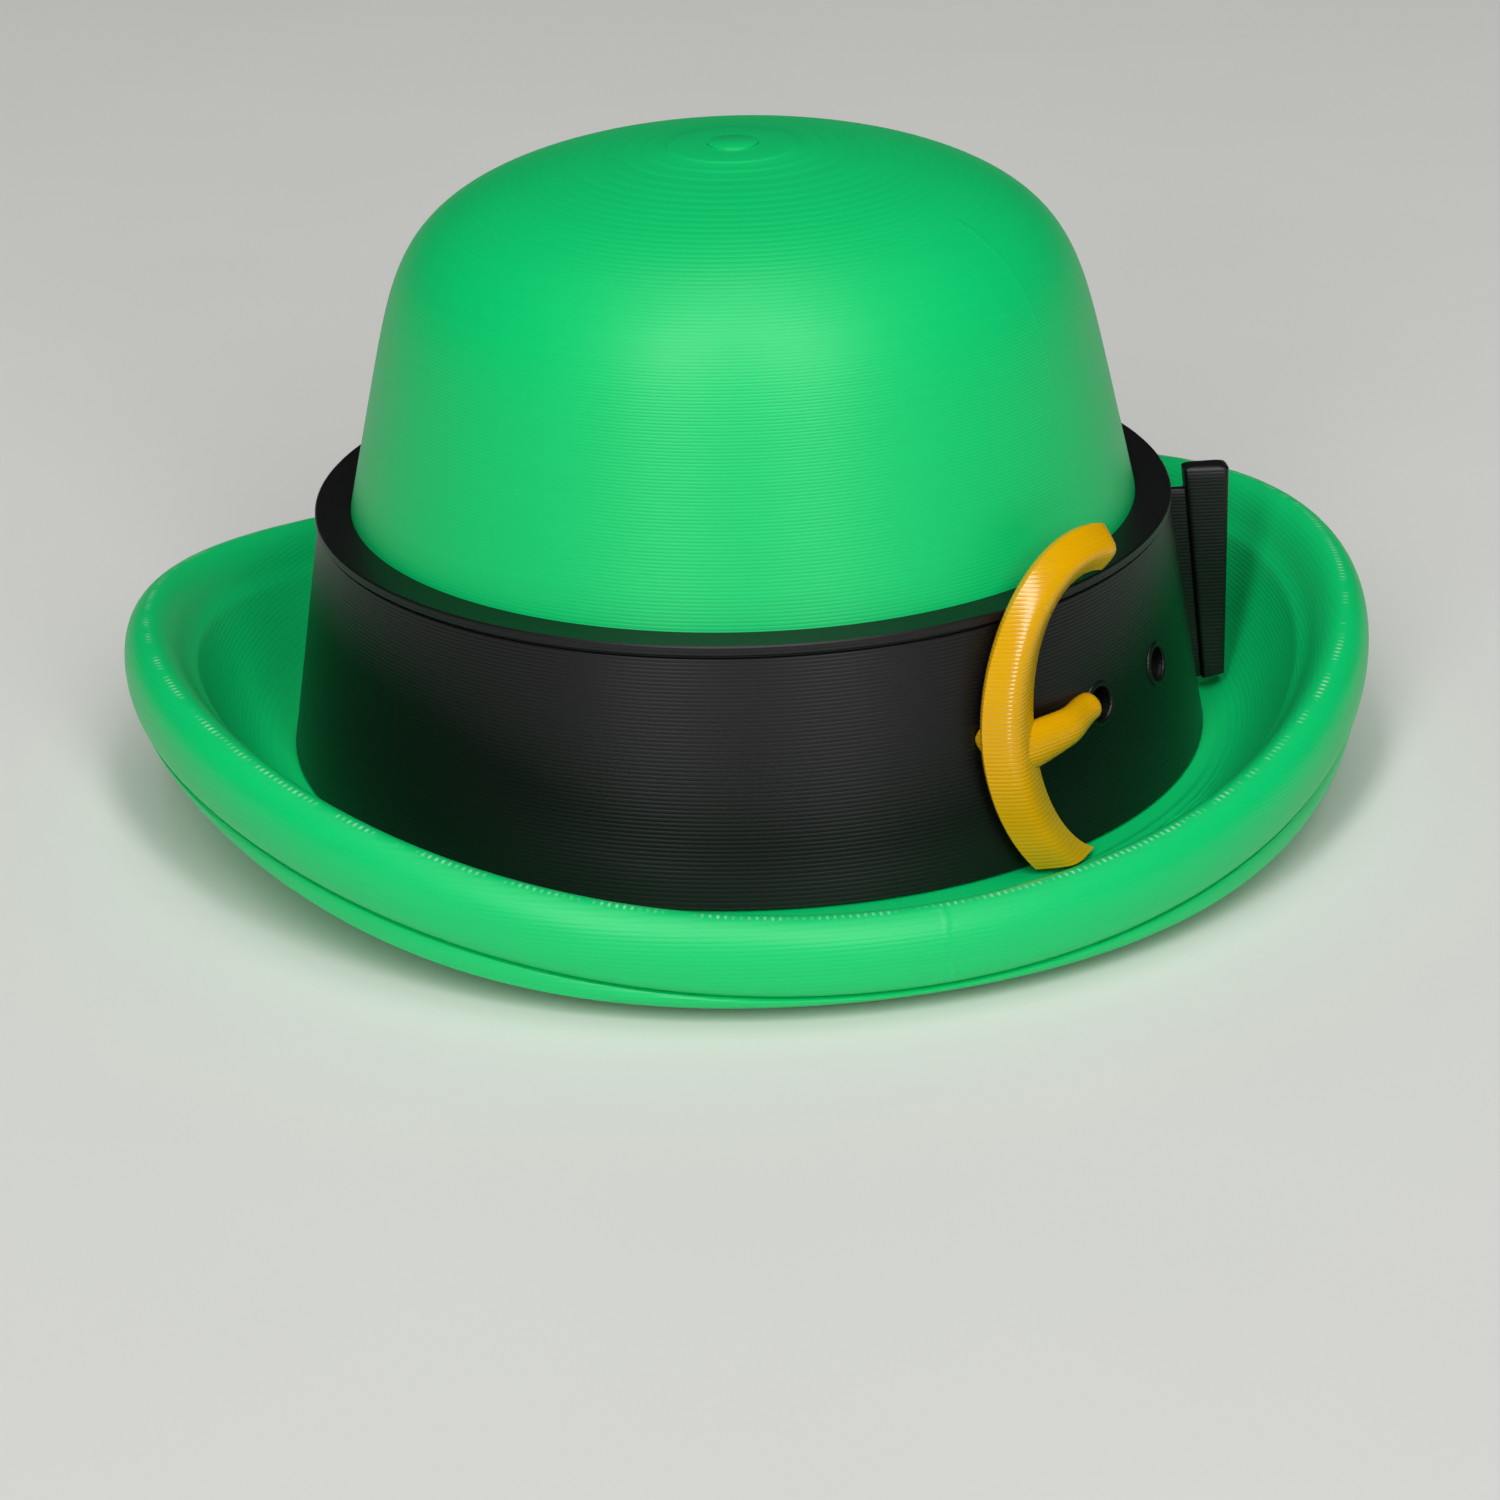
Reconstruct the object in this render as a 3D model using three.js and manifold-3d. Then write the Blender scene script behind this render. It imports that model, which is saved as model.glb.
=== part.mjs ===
// Small printed bowler hat with a belt round its crown: a green body with a rolled brim, a black belt
// with a loose tail, and a yellow C-shaped buckle whose tongue goes into a belt hole.
// Millimetres, +Z up. The hat stands on z = 0 with its axis on Z, and the low front of the brim faces -Y.
import * as THREE from "three";
import { mergeVertices } from "three/addons/utils/BufferGeometryUtils.js";
import Module from "manifold-3d";

// Crown: a tapered wall that turns into a flat-topped dome.
const CROWN_RADIUS = 18.7; // outside radius at the belt's top edge
const CROWN_TOP = 30.7;
const CROWN_TAPER = 0.226; // loss of radius for each millimetre of height, above the belt
const DOME_POWER = 8.25; // how late the wall turns into the top
const DOME_ROOT = 1.57; // how flat the top is
const DOME_START = 28; // share of a quarter turn over which the wall has no rows, in degrees
const WALL_TAPER = 0.155; // the straighter wall behind the belt
const SHELL = 1.5; // wall thickness of crown

// Brim: a floor round the belt's foot that curls up into a thick roll.
const FLOOR_TOP = 1.87; // height of the brim's floor at the belt's foot
const BELT_LAND = 22.4; // radius where the floor starts to curl
const CREASE_RADIUS = 26.5; // where the floor meets the roll
const LATE_FOLD = 2; // how late the floor curls on its way to the roll
const SIDE_LIFT = 4.6; // how much higher the roll is at both sides than at front and back
const LATE_LIFT = 0.2; // share of that lift that comes late on the way to the sides
const TURN_STEPS = 72;

// Belt: a conical loop on the wall, with a thin lip along its top edge.
const FIT_GAP = 0.25; // clearance between the belt and the crown
const BELT_FOOT = 2.15;
const BELT_TOP = 13.8;
const BELT_FOOT_RADIUS = 22.1;
const BELT_TAPER = 0.163;
const LIP_HEIGHT = 0.46;
const LIP_PROUD = 0.14;
const LIP_EDGE = 0.12; // height of the sloped edges of the lip

// Holes of the belt and its loose tail, by bearing from the front towards +X, in degrees.
const HOLE_BEARINGS = [35.7, 50.4];
const HOLE_HEIGHT = 7.9;
const HOLE_RADIUS = 0.78;
const HOLE_DEPTH = 1.0;
const TAIL_BEARING = 81.8;
const TAIL_THICKNESS = 1.2; // along the belt
const TAIL_INNER_RADIUS = 21.35;
const TAIL_OUTER_RADIUS = 23.55;
const TAIL_TOP = 13.45;
const TAIL_NOTCH = 12.35; // depth of the notch that parts its top from the loop
const TAIL_FOOT = 2.35; // height of its lower corner beside the belt
const TAIL_FOOT_RISE = 0.45; // climb of its lower edge, along with the brim's floor
const TAIL_ROOT_DEPTH = 0.6; // how far it goes into the loop

// Buckle: an oval frame open on one side, bent to the belt's curve and cut off just over the brim's floor.
const BUCKLE_BEARING = 33.4;
const BUCKLE_HEIGHT = 8.1;
const BUCKLE_HALF_WIDTH = 5.85; // centre line of the frame
const BUCKLE_HALF_HEIGHT = 7.4;
const BUCKLE_FOOT = 2.2;
const BUCKLE_GAP = 0.3; // clearance over the belt
const FRAME_WIDTH = 2.95; // across the frame in the middle of its bar
const FRAME_END_WIDTH = 2.05;
const FRAME_NARROWING = 1.5; // how late the bar narrows on its way to the ends
const FRAME_DEPTH = 1.6;
const FRAME_EDGE = 0.34; // share of that depth at which the section is widest
const FRAME_FROM = -80; // angle of the lower end, in degrees from the middle of the bar
const FRAME_TO = 104; // angle of the upper end
const TONGUE_ROOT_RADIUS = 1.0;
const TONGUE_TIP_RADIUS = 0.58;
const TONGUE_BLUNT = 0.4; // length of the rounded tip for its radius
const TONGUE_FLATNESS = 0.6; // its thickness for its width
const TONGUE_GAP = 0.2; // clearance between the tongue and the belt
const TONGUE_RISE = 0.5; // climb from the bar to the hole
const TONGUE_DIP = 0.75; // how far the tip drops into its hole
const TONGUE_BEND = 0.8; // share of its length after which the tip drops
const LOOP_SLANT = 20; // the tongue's loop climbs to the far side of the bar, in degrees
const LOOP_RISE = 0.6; // height of the loop's middle over the tongue's root
const LOOP_LENGTH = 0.56; // half its length for the bar's width
const LOOP_WIDTH = 1.2; // half its width for the radius of the tongue's root

const radians = THREE.MathUtils.degToRad;

const wasm = await Module();
wasm.setup();

// A closed geometry as a solid for joining and cutting.
function solid(geometry) {
  const bare = geometry.clone();
  for (const name of Object.keys(bare.attributes)) {
    if (name !== "position") bare.deleteAttribute(name);
  }
  const merged = mergeVertices(bare, 1e-4);
  return new wasm.Manifold(
    new wasm.Mesh({
      numProp: 3,
      vertProperties: new Float32Array(merged.attributes.position.array),
      triVerts: new Uint32Array(merged.index.array),
    }),
  );
}

function geometryOf(made) {
  const mesh = made.getMesh();
  const geometry = new THREE.BufferGeometry();
  geometry.setAttribute("position", new THREE.BufferAttribute(mesh.vertProperties, 3));
  geometry.setIndex(new THREE.BufferAttribute(mesh.triVerts, 1));
  geometry.computeVertexNormals();
  return geometry;
}

// Moves every vertex of a geometry by a function from one point to another.
function bend(geometry, place) {
  const position = geometry.attributes.position;
  const point = new THREE.Vector3();
  for (let i = 0; i < position.count; i += 1) {
    place(point.fromBufferAttribute(position, i), i);
    position.setXYZ(i, point.x, point.y, point.z);
  }
  geometry.computeVertexNormals();
  return geometry;
}

// Outside radius of the crown at a height, for a shell grown inwards by inset.
function crownRadius(z, inset = 0) {
  const radius = CROWN_RADIUS - inset;
  const top = CROWN_TOP - inset;
  if (z <= BELT_TOP) return radius + WALL_TAPER * (BELT_TOP - z);
  const share = Math.min((z - BELT_TOP) / (top - BELT_TOP), 1);
  const wall = radius - CROWN_TAPER * (z - BELT_TOP);
  return wall * (1 - share ** DOME_POWER) ** (1 / DOME_ROOT);
}

// Points of the dome from the apex down to the belt's top edge.
function domePoints(inset, steps) {
  const rows = [];
  const rise = CROWN_TOP - inset - BELT_TOP;
  for (let i = steps; i >= 0; i -= 1) {
    const z = BELT_TOP + rise * Math.sin(radians(DOME_START + ((90 - DOME_START) * i) / steps));
    rows.push({ r: i === steps ? 0 : crownRadius(z, inset), z, fold: 0, sag: 0 });
  }
  rows.push({ r: crownRadius(BELT_TOP, inset), z: BELT_TOP, fold: 0, sag: 0 });
  return rows;
}

function smooth(share) {
  const t = Math.min(Math.max(share, 0), 1);
  return t * t * (3 - 2 * t);
}

// Share of the side lift that the brim's floor takes at a radius.
function floorFold(r) {
  return Math.max((r - BELT_LAND) / (CREASE_RADIUS - BELT_LAND), 0) ** LATE_FOLD;
}

// Section of the brim at the low front, from the wall's foot out over the roll and back underneath.
// r and z place a point, fold is its share of the side lift, sag its share of the underside's later lift.
const brimFloor = [
  { r: crownRadius(FLOOR_TOP), z: FLOOR_TOP },
  { r: BELT_LAND, z: FLOOR_TOP },
  { r: 23.6, z: 1.95 },
  { r: 24.8, z: 2.05 },
  { r: 25.8, z: 2.2 },
  { r: CREASE_RADIUS, z: 2.4 },
].map((row) => ({ ...row, fold: floorFold(row.r), sag: 0 }));

const brimRoll = [
  { r: 27.0, z: 3.0 },
  { r: 27.5, z: 3.8 },
  { r: 28.05, z: 4.4 },
  { r: 28.65, z: 4.65 },
  { r: 29.25, z: 4.45 },
  { r: 29.7, z: 3.9 },
  { r: 29.9, z: 3.1 },
  { r: 29.88, z: 2.2 },
  { r: 29.72, z: 1.55 },
  { r: 29.42, z: 1.25 },
].map((row) => ({ ...row, fold: 1, sag: 0 }));

const brimUnderside = [
  { r: 29.5, z: 1.12, fold: 0.6, sag: 0.4 },
  { r: 29.4, z: 0.9, fold: 0, sag: 1 },
  { r: 28.6, z: 0.45, fold: 0, sag: 1 },
  { r: 27.2, z: 0.0, fold: 0, sag: 0.95 },
  { r: 25.0, z: 0.0, fold: 0, sag: 0.45 },
  { r: 22.6, z: 0.0, fold: 0, sag: 0 },
  { r: crownRadius(0) - SHELL, z: 0.0, fold: 0, sag: 0 },
];

// The whole section, turned round the axis, then lifted at both sides.
function hatBody() {
  const rows = [
    ...domePoints(0, 12),
    ...brimFloor,
    ...brimRoll,
    ...brimUnderside,
    ...domePoints(SHELL, 8).reverse(),
  ].reverse();
  const outline = rows.map((row) => new THREE.Vector2(row.r, row.z));
  const turned = new THREE.LatheGeometry(outline, TURN_STEPS);
  turned.rotateX(Math.PI / 2);
  return bend(turned, (point, i) => {
    const row = rows[i % rows.length];
    const radius = Math.hypot(point.x, point.y);
    const side = radius > 0 ? (point.x / radius) ** 2 : 0;
    const rise = side * (1 - LATE_LIFT + LATE_LIFT * side);
    point.z += SIDE_LIFT * (row.fold * rise + row.sag * side ** 2);
  });
}

// Outside radius of the belt at a height, also used above and below it for what lies on it.
function beltRadius(z) {
  return BELT_FOOT_RADIUS - BELT_TAPER * (z - BELT_FOOT);
}

function beltLoop() {
  const lipFoot = BELT_TOP - LIP_HEIGHT;
  const outline = [
    new THREE.Vector2(crownRadius(BELT_TOP) + FIT_GAP, BELT_TOP),
    new THREE.Vector2(crownRadius(BELT_FOOT) + FIT_GAP, BELT_FOOT),
    new THREE.Vector2(beltRadius(BELT_FOOT), BELT_FOOT),
    new THREE.Vector2(beltRadius(lipFoot), lipFoot),
    new THREE.Vector2(beltRadius(lipFoot) + LIP_PROUD, lipFoot + LIP_EDGE),
    new THREE.Vector2(beltRadius(BELT_TOP) + LIP_PROUD, BELT_TOP - LIP_EDGE),
    new THREE.Vector2(beltRadius(BELT_TOP), BELT_TOP),
    new THREE.Vector2(crownRadius(BELT_TOP) + FIT_GAP, BELT_TOP),
  ];
  const turned = new THREE.LatheGeometry(outline, TURN_STEPS);
  turned.rotateX(Math.PI / 2);
  return turned;
}

// The loose end: an upright tab across the loop's face, parted from the loop by a notch at its top.
function beltTail() {
  const side = new THREE.Shape();
  side.moveTo(beltRadius(TAIL_FOOT) - TAIL_ROOT_DEPTH, TAIL_FOOT);
  side.lineTo(TAIL_OUTER_RADIUS, TAIL_FOOT + TAIL_FOOT_RISE);
  side.lineTo(TAIL_OUTER_RADIUS, TAIL_TOP);
  side.lineTo(TAIL_INNER_RADIUS, TAIL_TOP);
  side.lineTo(TAIL_INNER_RADIUS, TAIL_NOTCH);
  side.lineTo(beltRadius(TAIL_NOTCH) - TAIL_ROOT_DEPTH, TAIL_NOTCH);
  side.closePath();
  const slab = new THREE.ExtrudeGeometry(side, { depth: TAIL_THICKNESS, bevelEnabled: false });
  slab.translate(0, 0, -TAIL_THICKNESS / 2);
  slab.rotateX(Math.PI / 2);
  slab.rotateZ(radians(TAIL_BEARING - 90));
  return slab;
}

function beltHole(bearing) {
  const drill = new THREE.CylinderGeometry(HOLE_RADIUS, HOLE_RADIUS, 2 * HOLE_DEPTH, 16);
  drill.translate(0, -beltRadius(HOLE_HEIGHT), 0);
  drill.translate(0, 0, HOLE_HEIGHT);
  drill.rotateZ(radians(bearing));
  return drill;
}

function belt() {
  let made = solid(beltLoop()).add(solid(beltTail()));
  for (const bearing of HOLE_BEARINGS) {
    made = made.subtract(solid(beltHole(bearing)));
  }
  return geometryOf(made);
}

// Lays a flat shape on the belt, facing -Y: x runs along the belt, y up it, z stands off it.
function layOnBelt(geometry) {
  const reach = beltRadius(BUCKLE_HEIGHT) + BUCKLE_GAP + FRAME_DEPTH / 2;
  return bend(geometry, (point) => {
    const bearing = point.x / reach;
    const z = BUCKLE_HEIGHT + point.y;
    const radius = beltRadius(z) + BUCKLE_GAP + point.z;
    point.set(radius * Math.sin(bearing), -radius * Math.cos(bearing), z);
  });
}

// Round-backed section with a soft ridge, as wide as the middle of the bar.
function frameSection() {
  const shape = new THREE.Shape();
  const sides = 14;
  for (let i = 0; i < sides; i += 1) {
    const turn = (2 * Math.PI * i) / sides;
    const across = (FRAME_WIDTH / 2) * Math.cos(turn);
    const ridge = Math.sin(turn) > 0 ? 1 - FRAME_EDGE : FRAME_EDGE;
    const off = FRAME_DEPTH * (FRAME_EDGE + ridge * Math.sin(turn));
    if (i === 0) shape.moveTo(-off, across);
    else shape.lineTo(-off, across);
  }
  shape.closePath();
  return shape;
}

function buckleFrame() {
  const stations = [];
  const steps = 24;
  for (let i = 0; i <= steps; i += 1) {
    const turn = radians(FRAME_FROM + ((FRAME_TO - FRAME_FROM) * i) / steps);
    const x = -BUCKLE_HALF_WIDTH * Math.cos(turn);
    stations.push(new THREE.Vector3(x, BUCKLE_HALF_HEIGHT * Math.sin(turn), 0));
  }
  const path = new THREE.CatmullRomCurve3(stations);
  const swept = new THREE.ExtrudeGeometry(frameSection(), { steps: 32, extrudePath: path });
  bend(swept, (point) => {
    const far = Math.hypot(point.x / BUCKLE_HALF_WIDTH, point.y / BUCKLE_HALF_HEIGHT);
    const climb = Math.min(Math.abs(point.y) / BUCKLE_HALF_HEIGHT, 1);
    const width = 1 - (1 - FRAME_END_WIDTH / FRAME_WIDTH) * climb ** FRAME_NARROWING;
    const scale = (1 + (far - 1) * width) / far;
    point.x *= scale;
    point.y *= scale;
  });
  return layOnBelt(swept);
}

// Tapered flat tongue from the bar to its hole, with a round tip that drops into the hole.
function buckleTongue() {
  const start = -BUCKLE_HALF_WIDTH;
  const reach = radians(HOLE_BEARINGS[0] - BUCKLE_BEARING) * beltRadius(HOLE_HEIGHT);
  const length = reach - start;
  const outline = [new THREE.Vector2(0, 0)];
  const steps = 10;
  const radiusAt = (share) => TONGUE_ROOT_RADIUS + (TONGUE_TIP_RADIUS - TONGUE_ROOT_RADIUS) * share;
  for (let i = 0; i < steps; i += 1) {
    const share = i / (steps - 1);
    outline.push(new THREE.Vector2(radiusAt(share), length * share));
  }
  const tip = TONGUE_TIP_RADIUS * TONGUE_BLUNT;
  const turn = radians(40);
  outline.push(new THREE.Vector2(TONGUE_TIP_RADIUS * Math.sin(turn), length + tip * Math.cos(turn)));
  outline.push(new THREE.Vector2(0, length + tip));
  const peg = new THREE.LatheGeometry(outline, 12);
  peg.rotateZ(-Math.PI / 2);
  bend(peg, (point) => {
    const share = Math.min(point.x / length, 1);
    const dip = TONGUE_DIP * smooth((share - TONGUE_BEND) / (1 - TONGUE_BEND));
    const lift = TONGUE_GAP - BUCKLE_GAP + TONGUE_FLATNESS * radiusAt(share) - dip;
    const y = point.y + HOLE_HEIGHT - BUCKLE_HEIGHT - TONGUE_RISE * (1 - share);
    point.set(start + point.x, y, point.z * TONGUE_FLATNESS + lift);
  });
  return layOnBelt(peg);
}

// The tongue's loop shows as a low bulge round the bar.
function tongueLoop() {
  const bulge = new THREE.SphereGeometry(1, 18, 10);
  bulge.scale(FRAME_WIDTH * LOOP_LENGTH, TONGUE_ROOT_RADIUS * LOOP_WIDTH, FRAME_DEPTH / 2);
  bulge.rotateZ(-radians(LOOP_SLANT));
  const root = HOLE_HEIGHT - BUCKLE_HEIGHT - TONGUE_RISE;
  bulge.translate(-BUCKLE_HALF_WIDTH, root + LOOP_RISE, FRAME_DEPTH / 2);
  return layOnBelt(bulge);
}

function buckle() {
  const reach = 4 * BELT_FOOT_RADIUS;
  const below = new THREE.BoxGeometry(reach, reach, reach);
  below.translate(0, 0, BUCKLE_FOOT - reach / 2);
  const made = solid(buckleFrame()).add(solid(tongueLoop())).add(solid(buckleTongue()));
  return geometryOf(made.subtract(solid(below)));
}

function piece(name, geometry, colour, roughness) {
  const material = new THREE.MeshStandardMaterial({ color: colour, roughness, metalness: 0 });
  const mesh = new THREE.Mesh(geometry, material);
  mesh.name = name;
  return mesh;
}

const hat = new THREE.Group();
hat.add(piece("hat_body", hatBody(), 0x00c86e, 0.42));
hat.add(piece("belt", belt(), 0x17171a, 0.45));

const front = new THREE.Group();
front.rotation.z = radians(BUCKLE_BEARING);
front.add(piece("buckle", buckle(), 0xf2b400, 0.38));
hat.add(front);

export default hat;
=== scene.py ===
"""A small printed bowler hat: crown and brim, belt and buckle. Metres, +Z up, front -Y."""
import math
from collections import namedtuple

import bmesh
import bpy
from bpy.props import FloatProperty, FloatVectorProperty, IntProperty, PointerProperty
from mathutils import Matrix, Vector


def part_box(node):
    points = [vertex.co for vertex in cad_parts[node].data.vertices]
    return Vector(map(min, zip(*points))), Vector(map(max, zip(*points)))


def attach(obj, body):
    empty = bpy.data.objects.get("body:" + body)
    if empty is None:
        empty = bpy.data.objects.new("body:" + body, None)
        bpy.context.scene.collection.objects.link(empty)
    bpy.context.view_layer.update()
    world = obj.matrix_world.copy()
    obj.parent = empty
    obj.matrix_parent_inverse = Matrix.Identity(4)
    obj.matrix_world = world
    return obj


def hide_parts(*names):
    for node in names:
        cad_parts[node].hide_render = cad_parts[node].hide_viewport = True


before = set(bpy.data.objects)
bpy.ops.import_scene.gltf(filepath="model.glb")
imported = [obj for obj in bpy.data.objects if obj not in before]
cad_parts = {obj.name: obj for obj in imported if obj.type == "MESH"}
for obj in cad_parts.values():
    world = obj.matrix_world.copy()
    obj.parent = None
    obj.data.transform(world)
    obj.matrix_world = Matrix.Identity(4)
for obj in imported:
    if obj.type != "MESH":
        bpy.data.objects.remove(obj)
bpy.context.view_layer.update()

bl_info = {
    "name": "Printed bowler hat",
    "version": (1, 0, 0),
    "blender": (4, 5, 0),
    "location": "3D View > Sidebar > Bowler hat",
    "description": "Makes a small printed bowler hat with a belt and a buckle, and a stage to show it on",
    "category": "Add Mesh",
}

MM = 0.001
HAT_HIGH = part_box("hat_body")[1]
BELT_LOW, BELT_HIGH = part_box("belt")
BUCKLE_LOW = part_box("buckle")[0]


def linear(hex_colour):
    """An sRGB hex colour as linear red, green and blue."""
    shares = [((hex_colour >> shift) & 255) / 255 for shift in (16, 8, 0)]
    return tuple(s / 12.92 if s <= 0.04045 else ((s + 0.055) / 1.055) ** 2.4 for s in shares)


def length(name, description, default):
    """A property that holds a size in metres."""
    return FloatProperty(name=name, description=description, default=default, unit="LENGTH", precision=5)


def share(name, description, default):
    """A property that holds a plain ratio."""
    return FloatProperty(name=name, description=description, default=default, precision=4)


def angle(name, description, degrees):
    """A property that holds an angle."""
    return FloatProperty(name=name, description=description, default=math.radians(degrees), subtype="ANGLE")


def colour(name, description, hex_colour):
    """A property that holds a linear colour."""
    default = linear(hex_colour)
    return FloatVectorProperty(
        name=name, description=description, default=default, subtype="COLOR", min=0, max=1
    )


class BOWLER_PG_print(bpy.types.PropertyGroup):
    """How the three pieces were printed."""

    layer_foot: length("Layer at the foot", "Height of a layer at the brim", 0.21 * MM)
    layer_top: length("Layer at the top", "Height of a layer at the crown's top", 0.12 * MM)
    bead_depth: length("Bead depth", "How far a bead stands out between two grooves", 0.007 * MM)
    green: colour("Green", "Colour of the crown and brim", 0x00CA6E)
    black: colour("Black", "Colour of the belt", 0x0A0A0B)
    yellow: colour("Yellow", "Colour of the buckle", 0xDEA400)


class BOWLER_PG_hat(bpy.types.PropertyGroup):
    """Sizes of the crown and the brim."""

    crown_top: length("Crown top", "Height of the crown", HAT_HIGH.z)
    crown_radius: length("Crown radius", "Outside radius at the belt's top edge", 18.7 * MM)
    wall_top: length("Wall top", "Height where the wall behind the belt ends", BELT_HIGH.z)
    crown_taper: share("Crown taper", "Loss of radius with height above the belt", 0.226)
    wall_taper: share("Wall taper", "Loss of radius with height behind the belt", 0.155)
    dome_power: share("Dome power", "How late the wall turns into the top", 8.25)
    dome_root: share("Dome root", "How flat the top is", 1.57)
    shell: length("Shell", "Wall thickness of the crown", 1.5 * MM)
    floor_top: length("Floor top", "Height of the brim's floor beside the belt", 1.87 * MM)
    floor_rise: length("Floor rise", "Climb of the floor to the roll at the front", 0.53 * MM)
    belt_land: length("Belt land", "Radius where the floor starts to curl", 22.4 * MM)
    crease_radius: length("Crease radius", "Radius where the floor meets the roll", 26.5 * MM)
    late_fold: share("Late fold", "How late the floor curls on its way to the roll", 2.0)
    crest_radius: length("Crest radius", "Radius of the bead ends along the top of the roll", 28.75 * MM)
    side_lift: length("Side lift", "How much higher the roll is at both sides", 4.6 * MM)
    late_lift: share("Late lift", "Share of the lift that comes late on the way to the sides", 0.2)
    turn_steps: IntProperty(name="Turn steps", description="Faces round the axis", default=320, min=12)


class BOWLER_PG_belt(bpy.types.PropertyGroup):
    """Sizes of the belt and its loose tail."""

    foot: length("Foot", "Height of the belt's lower edge in the solid model", BELT_LOW.z)
    top: length("Top", "Height of the belt's upper edge", BELT_HIGH.z)
    foot_radius: length("Foot radius", "Outside radius at the lower edge", 22.1 * MM)
    taper: share("Taper", "Loss of radius with height", 0.163)
    lip_height: length("Lip height", "Height of the lip along the top", 0.56 * MM)
    lip_proud: length("Lip proud", "How far the lip stands out", 0.14 * MM)
    hole_height: length("Hole height", "Height of the holes", 7.9 * MM)
    hole_radius: length("Hole radius", "Radius of the holes", 0.78 * MM)
    first_hole: angle("First hole", "Bearing of the hole that the tongue is in, from the front", 35.7)
    second_hole: angle("Second hole", "Bearing of the free hole, from the front", 50.4)
    tail_bearing: angle("Tail bearing", "Bearing of the loose tail", 81.8)
    tail_thickness: length("Tail thickness", "Thickness of the tail along the belt", 1.15 * MM)
    tail_inner: length("Tail inner radius", "Distance of the tail's inner edge from the axis", 21.35 * MM)
    tail_outer: length("Tail outer radius", "Distance of the tail's outer edge from the axis", 23.55 * MM)
    tail_top: length("Tail top", "Height of the tail's upper edge", 13.45 * MM)
    tail_notch: length("Tail notch", "Height of the notch between the tail's top and the belt", 12.35 * MM)
    tail_root: length("Tail root", "How far the tail goes into the belt below the notch", 0.6 * MM)
    tail_web: length("Tail web", "Thickness of the web between the belt and the tail", 0.5 * MM)
    tail_slant: length("Tail slant", "How much farther out the tail's inner edge is at its foot", 1.1 * MM)
    tail_foot: length("Tail foot", "Height of the tail's lower corner beside the belt", 2.35 * MM)
    tail_foot_rise: length("Tail foot rise", "Climb of the tail's lower edge above the floor", 0.45 * MM)


class BOWLER_PG_buckle(bpy.types.PropertyGroup):
    """Sizes of the buckle."""

    bearing: angle("Bearing", "Bearing of the buckle's middle, from the front", 33.4)
    height: length("Height", "Height of the buckle's middle", 8.1 * MM)
    foot: length("Foot", "Height where the lower end is cut off", BUCKLE_LOW.z)
    half_width: length("Half width", "Half the width of the C's centre line", 5.85 * MM)
    half_height: length("Half height", "Half the height of the C's centre line", 7.4 * MM)
    stand_off: length("Stand off", "Distance of the frame's middle from the belt", 1.1 * MM)
    bar_width: length("Bar width", "Width in the middle of the bar", 2.85 * MM)
    end_width: length("End width", "Width at the ends", 2.05 * MM)
    depth: length("Depth", "Thickness of the bar from its back to its ridge", 1.62 * MM)
    edge_share: share("Edge share", "Share of the depth at which the bar is widest", 0.56)
    ridge: share("Ridge", "How round the ridge is, as a share of half the width", 0.4)
    lower_end: angle("Lower end", "Turn of the lower end from the middle of the bar", -80)
    upper_end: angle("Upper end", "Turn of the upper end from the middle of the bar", 104)
    tongue_level: length("Tongue level", "Height of the tongue's tip above its hole's middle", 0.3 * MM)
    tongue_rise: length("Tongue rise", "Climb of the tongue from the bar to its hole", 0.6 * MM)
    tongue_root: length("Tongue root", "Half the tongue's width at the bar", 1.2 * MM)
    tongue_tip: length("Tongue tip", "Half the tongue's width at its tip", 0.6 * MM)
    tongue_short: length("Tongue short", "Distance of the tip from the middle of its hole", 1.15 * MM)
    tongue_depth: length("Tongue depth", "Thickness of the tongue", 1.3 * MM)


class BOWLER_PG_stage(bpy.types.PropertyGroup):
    """Camera, light and floor."""

    bearing: angle("Camera bearing", "Bearing of the camera from the hat's front", -13.03)
    distance: length("Camera distance", "Level distance of the camera from the hat's axis", 180.49 * MM)
    height: length("Camera height", "Height of the camera", 79.12 * MM)
    elevation: angle("Camera elevation", "How far the camera looks down", 23.68)
    roll: angle("Camera roll", "How far the picture's right side is turned up", 1.61)
    view_angle: angle("View angle", "Angle that the picture covers", 21.24)
    lamp_power: FloatProperty(name="Lamp power", description="Watts of each lamp", default=5.28)
    lamp_bearing: angle("Lamp bearing", "Bearing of both lamps to either side of the camera", 22)
    lamp_elevation: angle("Lamp elevation", "How high the lamps stand", 40)
    lamp_distance: length("Lamp distance", "Distance of the lamps from the hat", 1.0)
    lamp_width: length("Lamp width", "Width of each lamp", 0.16)
    lamp_length: length("Lamp length", "Length of each lamp", 1.0)
    sky_power: FloatProperty(name="Sky power", description="Watts of the overhead lamp", default=8.0)
    sky_height: length("Sky height", "Height of the overhead lamp", 2.0)
    sky_size: length("Sky size", "Side of the overhead lamp", 1.0)
    aim_height: length("Aim height", "Height of the point that the lamps face", 14 * MM)
    air: share("Air light", "Strength of the light from all round", 0.025)
    floor: colour("Floor", "Colour of the floor", 0xE4E4E0)
    floor_reach: length("Floor reach", "Distance of the floor's edges from the hat", 2.0)


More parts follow.
